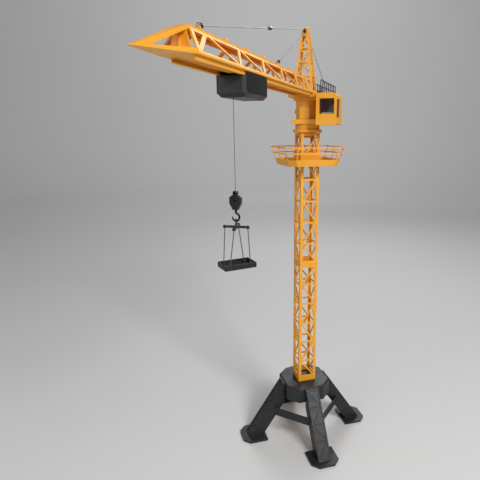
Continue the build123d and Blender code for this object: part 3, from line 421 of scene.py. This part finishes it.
easedEdges = {
    "base_hub": 0.9, "leg_front": 0.7, "leg_right": 0.7, "leg_back": 0.7, "leg_left": 0.7,
    "leg_tie_bars": 0.5, "mast_foot": 0.6, "base_hub_cover": 0.4, "slew_base": 0.4,
    "turret_housing": 0.5, "turret_top_plate": 0.6, "cabin_shell": 0.7,
    "mast_lower_section": 0.45, "mast_upper_section": 0.45, "gallery_floor": 0.5,
    "gallery_railing": 0.4, "tower_head": 0.4, "tower_head_cap": 0.5, "jib_deck": 0.35,
    "jib_side_left": 0.4, "jib_side_right": 0.4, "jib_top_plate": 0.35, "jib_nose": 0.4,
    "counter_jib_deck": 0.4, "counter_jib_railings": 0.35, "counterweight": 0.5,
    "battery_cover": 0.4, "trolley_shell_left": 0.6, "trolley_shell_right": 0.6,
    "trolley_saddle": 0.3, "power_switch": 0.3,
}
for nodeName, rounding in easedEdges.items():
    easedNode(nodeName, rounding)
print("eased bodies:", len(easedEdges))


# the hook block, hook and sling set hang under the rope
ropeY = -566.65
slingTurns = {"spreader": math.radians(54.0), "tray": math.radians(46.0)}


# a place on the sling set, which hangs turned about the rope
def slingSpot(x, y, z, turn):
    return (x * math.cos(turn) - y * math.sin(turn),
            ropeY + x * math.sin(turn) + y * math.cos(turn), z)


def turnWithSlings(piece, turn):
    pick(piece)
    place = Matrix.Translation((0, ropeY * mm, 0)) @ Matrix.Rotation(turn, 4, "Z")
    piece.matrix_world = place @ piece.matrix_world
    seat(piece)


hookBlockSizes = {"border": 1.5, "groove": 0.3, "sunk": 0.7, "pinZ": 872.0, "pinRadius": 2.5,
                  "face": 4.5}


def makeHookBlock():
    sizes = hookBlockSizes
    for side, name in ((-1, "front"), (1, "rear")):
        cheek = copyNode("hook_block_" + name)
        outwardWay = Matrix.Rotation(jibTurn, 3, "Z") @ Vector((0, side, 0))
        broad = max((face.area for face in cheek.data.polygons
                     if face.normal.dot(outwardWay) > 0.99))
        selectFaces(cheek, lambda centre, normal: False)
        bpy.ops.object.mode_set(mode="OBJECT")
        for face in cheek.data.polygons:
            face.select = face.normal.dot(outwardWay) > 0.99 and face.area > 0.9 * broad
        bpy.ops.object.mode_set(mode="EDIT")
        bpy.ops.mesh.inset(thickness=sizes["border"] * mm, depth=0)
        bpy.ops.mesh.inset(thickness=sizes["groove"] * mm, depth=-sizes["sunk"] * mm)
        bpy.ops.object.mode_set(mode="OBJECT")
        roundEdges(cheek, 0.25)
        keepPiece(cheek, "hookBlock" + name.title(), "fitting_black", "hook_block",
                  ("hook_block_" + name,), flat=True)
        reach = ropeY + (sizes["face"] - 0.8) * side
        radius = sizes["pinRadius"]
        boss = turned([(radius, 0), (radius, 0.4), (radius - 0.4, 0.75), (1.2, 0.75),
                       (1.0, 0.5), (0.4, 0.5)],
                      (0, reach, sizes["pinZ"]), (0, reach + 5 * side, sizes["pinZ"]), 24)
        turnWithJib(boss)
        keepPiece(boss, "hookBlockPin" + name.title(), "panel_black", "hook_block")


hookSizes = {"bar": 1.9, "shankTop": 860.1, "shankLow": 847.4}


def makeHook():
    y, thick = ropeY, hookSizes["bar"]
    shank = turned([(2.8, 0), (2.9, 0.2), (2.9, 2.4), (1.7, 2.5), (1.7, 6.4), (2.6, 6.6),
                    (2.6, 8.6), (2.0, 9.4), (1.8, 12.6)],
                   (0, y, hookSizes["shankTop"]), (0, y, hookSizes["shankLow"]))
    bar = bentRod([(0, y, 850.5), (0, y, 847.8), (3.6, y, 846.6), (6.8, y, 843.2),
                   (7.2, y, 838.6), (5.0, y, 834.1), (0.2, y, 832.3), (-4.7, y, 834.2),
                   (-6.9, y, 838.0), (-7.6, y, 841.6)],
                  [1.7, 1.8, 1.8, thick, thick, thick, thick, 1.8, 1.5, 0.7])
    hook = join([shank, bar])
    turnWithJib(hook)
    keepPiece(hook, "craneHook", "panel_black", "hook", ("crane_hook",), 50)


spreaderSizes = {"armX": 15.2, "armY": 16.9, "low": 819.4, "thick": 3.6, "armHalf": 2.3,
                 "eyeZ": 831.8, "eyeRadius": 4.85, "eyeWire": 0.95}


def makeSpreader():
    sizes = spreaderSizes
    armX, armY, z = sizes["armX"], sizes["armY"], sizes["low"]
    high, reach = z + sizes["thick"], math.hypot(armX, armY)
    parts = []
    for way in (-1, 1):
        arm = block((-reach, -sizes["armHalf"], z), (reach, sizes["armHalf"], high), 0.6)
        rib = block((-reach + 4, -0.7, high - 0.2), (reach - 4, 0.7, high + 0.9), 0.3)
        for piece in (arm, rib):
            pick(piece)
            piece.matrix_world = Matrix.Rotation(math.atan2(armY * way, armX), 4, "Z")
            seat(piece)
            parts.append(piece)
        for side in (-1, 1):
            spot = (armX * side, armY * side * way)
            parts.append(turned([(1.6, -0.8), (3.0, -0.6), (3.6, 0.2), (3.6, 3.0), (3.2, 3.7),
                                 (2.3, 4.1), (2.3, 4.8), (1.7, 5.2), (0.6, 5.2)],
                                (*spot, z), (*spot, z + 10), 24))
    parts.append(turned([(6.6, 0.1), (7.4, 0.6), (7.4, 3.1), (6.8, 3.8), (4.0, 4.0), (3.4, 5.4),
                         (2.2, 6.0), (0.8, 6.0)], (0, 0, z), (0, 0, z + 10), 32))
    spreader = join(parts)
    turnWithSlings(spreader, slingTurns["spreader"])
    eye = ringAt((0, ropeY, sizes["eyeZ"]), (1, 0, 0), sizes["eyeRadius"], sizes["eyeWire"])
    neck = block((-1.0, ropeY - 2.3, high + 1.4),
                 (1.0, ropeY + 2.3, sizes["eyeZ"] - sizes["eyeRadius"] + 0.6), 0.4)
    spreader = join([spreader, eye, neck])
    turnWithJib(spreader)
    keepPiece(spreader, "spreader", "trolley_black", "sling_set", ("spreader",), 40, True)


slingSizes = {"trayX": 21.3, "trayY": 15.5, "low": 749.0, "high": 819.6, "radius": 0.98}


def makeSlings():
    sizes, cords = slingSizes, []
    for wayX in (-1, 1):
        for wayY in (-1, 1):
            low = slingSpot(sizes["trayX"] * wayX, sizes["trayY"] * wayY, sizes["low"],
                            slingTurns["tray"])
            high = slingSpot(spreaderSizes["armX"] * wayX, spreaderSizes["armY"] * wayY,
                             sizes["high"], slingTurns["spreader"])
            cords.append(twistedCable(low, high, sizes["radius"], 3, 5.0, 7))
            bottom, top = Vector(low), Vector(high)
            along = (top - bottom).normalized()
            cords.append(turned([(0.9, 0), (1.5, 0.6), (1.75, 1.6), (1.5, 2.6), (1.0, 3.2)],
                                bottom + along * 1.6, bottom + along * 6, 14))
    slings = join(cords)
    turnWithJib(slings)
    keepPiece(slings, "slings", "sling_grey", "sling_set", ("slings",), 60)


traySizes = {"halfX": 32.5, "halfY": 20.0, "low": 742.0, "high": 752.4, "wall": 2.2,
             "ribAt": (-30, -15, 0, 15, 30)}


def makeTray():
    sizes = traySizes
    halfX, halfY, low, high = sizes["halfX"], sizes["halfY"], sizes["low"], sizes["high"]
    tray = block((-halfX, -halfY, low), (halfX, halfY, high))
    selectFaces(tray, lambda centre, normal: normal.z > 0.9)
    bpy.ops.mesh.inset(thickness=sizes["wall"] * mm, depth=0)
    bpy.ops.mesh.extrude_region_move(
        TRANSFORM_OT_translate={"value": (0, 0, -(high - low - sizes["wall"]) * mm)})
    bpy.ops.object.mode_set(mode="OBJECT")
    roundEdges(tray, 0.6, 3)
    parts = [tray]
    for x in (-22, -11, 0, 11, 22):
        parts.append(block((x - 0.6, -halfY + 2, low + 2.0), (x + 0.6, halfY - 2, low + 2.9), 0.3))
    for way in (-1, 1):
        span = sorted((halfY * way, (halfY - 1) * way))
        for x in sizes["ribAt"]:
            parts.append(block((x - 0.9, span[0], low + 1.5), (x + 0.9, span[1], high - 0.2), 0.2))
    for x in (-slingSizes["trayX"], slingSizes["trayX"]):
        for y in (-slingSizes["trayY"], slingSizes["trayY"]):
            parts.append(turned([(3.0, 1.2), (3.0, 6.3), (2.5, 7.0), (1.5, 7.0), (1.3, 5.6),
                                 (0.5, 5.6)], (x, y, low), (x, y, low + 10), 22))
    tray = join(parts)
    turnWithSlings(tray, slingTurns["tray"])
    turnWithJib(tray)
    keepPiece(tray, "loadingTray", "trolley_black", "sling_set", ("loading_tray",), 35, True)


makeHookBlock()
makeHook()
makeSpreader()
makeSlings()
makeTray()
print("load set made")


trolleySizes = {"low": 1056.5, "screwX": 15, "screwY": (-532, -508), "ropeLow": 886.5,
                "ropeHigh": 1070.0, "ropeRadius": 0.6}


def makeTrolleyDetails():
    sizes = trolleySizes
    panels = copyNode("trolley_side_panels", 0.3)
    keepPiece(panels, "trolleySidePanels", "panel_black", "trolley", ("trolley_side_panels",),
              flat=True)
    screws = []
    for x in (-sizes["screwX"], sizes["screwX"]):
        for y in sizes["screwY"]:
            screws.append(turned([(2.0, 0.3), (2.4, 0.6), (2.4, 1.3), (1.2, 1.4), (1.2, 4.8)],
                                 (x, y, sizes["low"]), (x, y, sizes["low"] + 10), 20))
    screws = join(screws)
    turnWithJib(screws)
    keepPiece(screws, "trolleyScrews", "screw_steel", "trolley", ("trolley_screws",))
    rope = twistedCable((0, ropeY, sizes["ropeLow"]), (0, ropeY, sizes["ropeHigh"]),
                        sizes["ropeRadius"], 3, 4.2, 6)
    turnWithJib(rope)
    keepPiece(rope, "hoistRope", "rope_black", None, ("hoist_rope",), 60)
    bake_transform(rope)


makeTrolleyDetails()

staySizes = {"headY": -34.0, "jibTop": 1141.0, "pin": 1265.0, "eyeFirst": -204.0,
             "eyePitch": 98.3, "rise": 4.6, "lean": 2.2, "cable": 1.28, "pitch": 9.0,
             "ring": 5.0, "wire": 1.1, "barrelAt": 0.522}


def stayRuns():
    sizes = staySizes
    eyeZ, front, rear = sizes["jibTop"] + 3.6, sizes["headY"] - 10.5, sizes["headY"] + 10.5
    ends = {"Long": ((0, sizes["eyeFirst"] - 5 * sizes["eyePitch"], eyeZ),
                     (0, front, sizes["pin"] + 3)),
            "Short": ((0, sizes["eyeFirst"] - sizes["eyePitch"], eyeZ),
                      (0, front, sizes["pin"] - 2)),
            "Counter": ((0, 300.0, 1118.0), (0, rear, sizes["pin"] + 1))}
    runs = {}
    for name, (low, high) in ends.items():
        lean = sizes["lean"] if high[1] > low[1] else -sizes["lean"]
        low, high = Vector(low) + Vector((0, lean, sizes["rise"])), Vector(high)
        runs[name] = (low, high, (high - low).normalized())
    return runs


def makeStays():
    sizes, runs = staySizes, stayRuns()
    jibCables, ferrules, hooks = [], [], []
    for name, (low, high, along) in runs.items():
        middle = low + (high - low) * sizes["barrelAt"]
        spans = [(low + along * 12, high)]
        if name == "Long":
            spans = [(low + along * 12, middle - along * 11), (middle + along * 11, high)]
        cables = [twistedCable(start, end, sizes["cable"], 3, sizes["pitch"])
                  for start, end in spans]
        if name == "Counter":
            cable = join(cables)
            turnWithJib(cable)
            keepPiece(cable, "counterJibStay", "cable_grey", "upper_works",
                      ("counter_jib_pendant",), 60)
        else:
            jibCables += cables
        ferrules.append(turned([(1.0, 5.2), (2.9, 5.5), (4.0, 6.5), (4.4, 8.0), (4.0, 9.5),
                                (2.9, 10.5), (1.9, 10.9), (1.9, 11.4), (2.3, 11.7), (2.3, 12.9),
                                (1.5, 13.2)], low, low + along * 30, 22))
        across = Vector((1, 0, 0)).cross(along)
        hooks.append(ringAt(low, across.cross(along), sizes["ring"], sizes["wire"]))
        gate = low + across * sizes["ring"]
        hooks.append(turned([(0.6, 0), (1.3, 0.3), (1.3, 3.7), (0.6, 4.0)],
                            gate - along * 2, gate + along * 2, 14))
    for parts, name, finish, node, angle in (
            (jibCables, "jibStays", "cable_grey", "jib_pendants", 60),
            (ferrules, "stayFerrules", "fitting_black", "pendant_ferrules", 35),
            (hooks, "stayHooks", "fitting_steel", "pendant_hooks", 35)):
        piece = join(parts)
        turnWithJib(piece)
        keepPiece(piece, name, finish, "upper_works", (node,), angle)
    makeTurnbuckle(*runs["Long"])
    makeHeadFittings(runs)


def makeTurnbuckle(low, high, along):
    middle = low + (high - low) * staySizes["barrelAt"]
    barrel = turned([(1.2, -12), (2.2, -11.7), (2.6, -11), (2.6, -8), (1.9, -7.6), (1.9, -6.8),
                     (3.1, -6.4), (3.9, -5.6), (4.0, -5.0), (4.0, -2.2), (3.4, -1.8), (3.4, 1.8),
                     (4.0, 2.2), (4.0, 5.0), (3.9, 5.6), (3.1, 6.4), (1.9, 6.8), (1.9, 7.6),
                     (2.6, 8), (2.6, 11), (2.2, 11.7), (1.2, 12)],
                    middle, middle + along * 30, 24)
    turnWithJib(barrel)
    keepPiece(barrel, "stayTurnbuckle", "dark_steel", "upper_works", ("pendant_turnbuckle",))


def makeHeadFittings(runs):
    sizes, parts = staySizes, []
    for x in (-1, 1):
        parts.append(turned([(3.4, 0), (4.2, 0.3), (4.2, 1.2), (2.6, 1.3), (2.4, 0.7), (0.8, 0.7)],
                            (8.4 * x, sizes["headY"], sizes["pin"]),
                            (14 * x, sizes["headY"], sizes["pin"]), 24))
    for run in runs.values():
        high, along = run[1], run[2]
        parts.append(turned([(1.4, -13), (2.2, -12.4), (2.4, -11.6), (2.4, -6), (3.4, -5.2),
                             (4.0, -3.6), (4.1, -2.2), (3.8, -0.6), (2.8, 0.8), (1.0, 1.3)],
                            high, high + along * 10, 20))
    fittings = join(parts)
    turnWithJib(fittings)
    keepPiece(fittings, "headFittings", "fitting_black", "upper_works")


makeStays()
print("stays made")


seatSizes = {"cushionRound": 3.0, "seatShare": 0.42, "armWide": 2.4}


def makeCabinInside():
    sizes, back = seatSizes, Matrix.Rotation(-jibTurn, 4, "Z")
    corners = [back @ Vector(v.co) / mm for v in nodes["cabin_seat"].data.vertices]
    low = [min(corner[axis] for corner in corners) for axis in range(3)]
    high = [max(corner[axis] for corner in corners) for axis in range(3)]
    seatTop = low[2] + (high[2] - low[2]) * sizes["seatShare"]
    cushionRound = sizes["cushionRound"]
    middle = ((low[0] + high[0]) / 2, (low[1] + high[1]) / 2)
    parts = [block((low[0], low[1], low[2] + 4), (high[0], high[1], seatTop), cushionRound),
             block((low[0] + 1, high[1] - 7, seatTop - 2), (high[0] - 1, high[1] - 0.5, high[2]),
                   cushionRound),
             turned([(5, 0), (5, 1.2), (2.6, 1.8), (2.6, seatTop - low[2] - 3)],
                    (*middle, low[2]), (*middle, high[2]))]
    for x in (low[0] + 0.2, high[0] - 0.2 - sizes["armWide"]):
        parts.append(block((x, low[1] + 3, seatTop + 3),
                           (x + sizes["armWide"], high[1] - 5, seatTop + 5.4), 0.9))
    seatPiece = join(parts)
    turnWithJib(seatPiece)
    keepPiece(seatPiece, "cabinSeat", "seat_grey", "upper_works", ("cabin_seat",), flat=True)


makeCabinInside()
print("cabin furnished")


# a round studio floor whose rim sweeps up into a low backdrop, all in metres
stageSizes = {"radius": 9.0, "backdropHigh": 4.6, "sweep": 2.6, "sides": 96}


def makeStage():
    sizes = stageSizes
    clearSelection()
    bpy.ops.mesh.primitive_circle_add(vertices=sizes["sides"], radius=sizes["radius"],
                                      fill_type="NGON")
    floor = bpy.context.object
    floor.name = "studioFloor"
    bpy.ops.object.mode_set(mode="EDIT")
    bpy.ops.mesh.select_mode(type="EDGE")
    bpy.ops.mesh.select_all(action="SELECT")
    bpy.ops.mesh.extrude_edges_move(
        TRANSFORM_OT_translate={"value": (0, 0, sizes["backdropHigh"])})
    bpy.ops.object.mode_set(mode="OBJECT")
    addModifier(floor, "BEVEL", width=sizes["sweep"], segments=14, limit_method="ANGLE",
                angle_limit=math.radians(40))
    smooth(floor, 60)
    material, tree, shader, coords = newMaterial("paleFloor")
    tree.links.new(blendColours(tree, spread(tree, noise(tree, coords, 0.4, 2), 0, 1),
                                (0.66, 0.66, 0.655), (0.68, 0.68, 0.675)),
                   shader.inputs["Base Color"])
    shader.inputs["Roughness"].default_value = 0.85
    floor.data.materials.append(material)


# where each light stands and looks, its size and its power
lights = {"key": ((0.7, -2.6, 2.5), (0, -0.2, 0.7), 1.0, 84),
          "fill": ((-2.6, -1.6, 1.7), (0, -0.2, 0.7), 1.6, 18),
          "rim": ((1.2, 2.4, 2.6), (0, -0.2, 0.7), 1.2, 34),
          "backdrop": ((1.5, 4.2, 4.4), (2.2, 9.0, 1.6), 3.0, 90)}


def makeLights():
    world = bpy.data.worlds.new("studio")
    bpy.context.scene.world = world
    world.use_nodes = True
    background = world.node_tree.nodes["Background"]
    background.inputs["Color"].default_value = (0.80, 0.81, 0.83, 1)
    background.inputs["Strength"].default_value = 0.32
    for name, (place, target, size, power) in lights.items():
        bpy.ops.object.light_add(type="AREA", location=place)
        lamp = bpy.context.object
        lamp.name = name + "Light"
        lamp.data.size = size
        lamp.data.energy = power
        aim = Vector(target) - Vector(place)
        lamp.rotation_euler = aim.to_track_quat("-Z", "Y").to_euler()


cameraPlace = {"location": (-0.4844, -1.2996, 1.0004), "tilt": 76.335, "turn": -17.06,
               "lens": 33.94, "shiftX": -0.083}


def makeCamera():
    data = bpy.data.cameras.new("viewCamera")
    camera = bpy.data.objects.new("viewCamera", data)
    bpy.context.scene.collection.objects.link(camera)
    camera.location = cameraPlace["location"]
    camera.rotation_euler = (math.radians(cameraPlace["tilt"]), 0,
                             math.radians(cameraPlace["turn"]))
    data.sensor_width = 36
    data.lens = cameraPlace["lens"]
    data.shift_x = cameraPlace["shiftX"]
    data.clip_start = 0.01
    bpy.context.scene.camera = camera


makeStage()
makeLights()
makeCamera()
bpy.context.scene.view_settings.view_transform = "Standard"

print("crane finished")
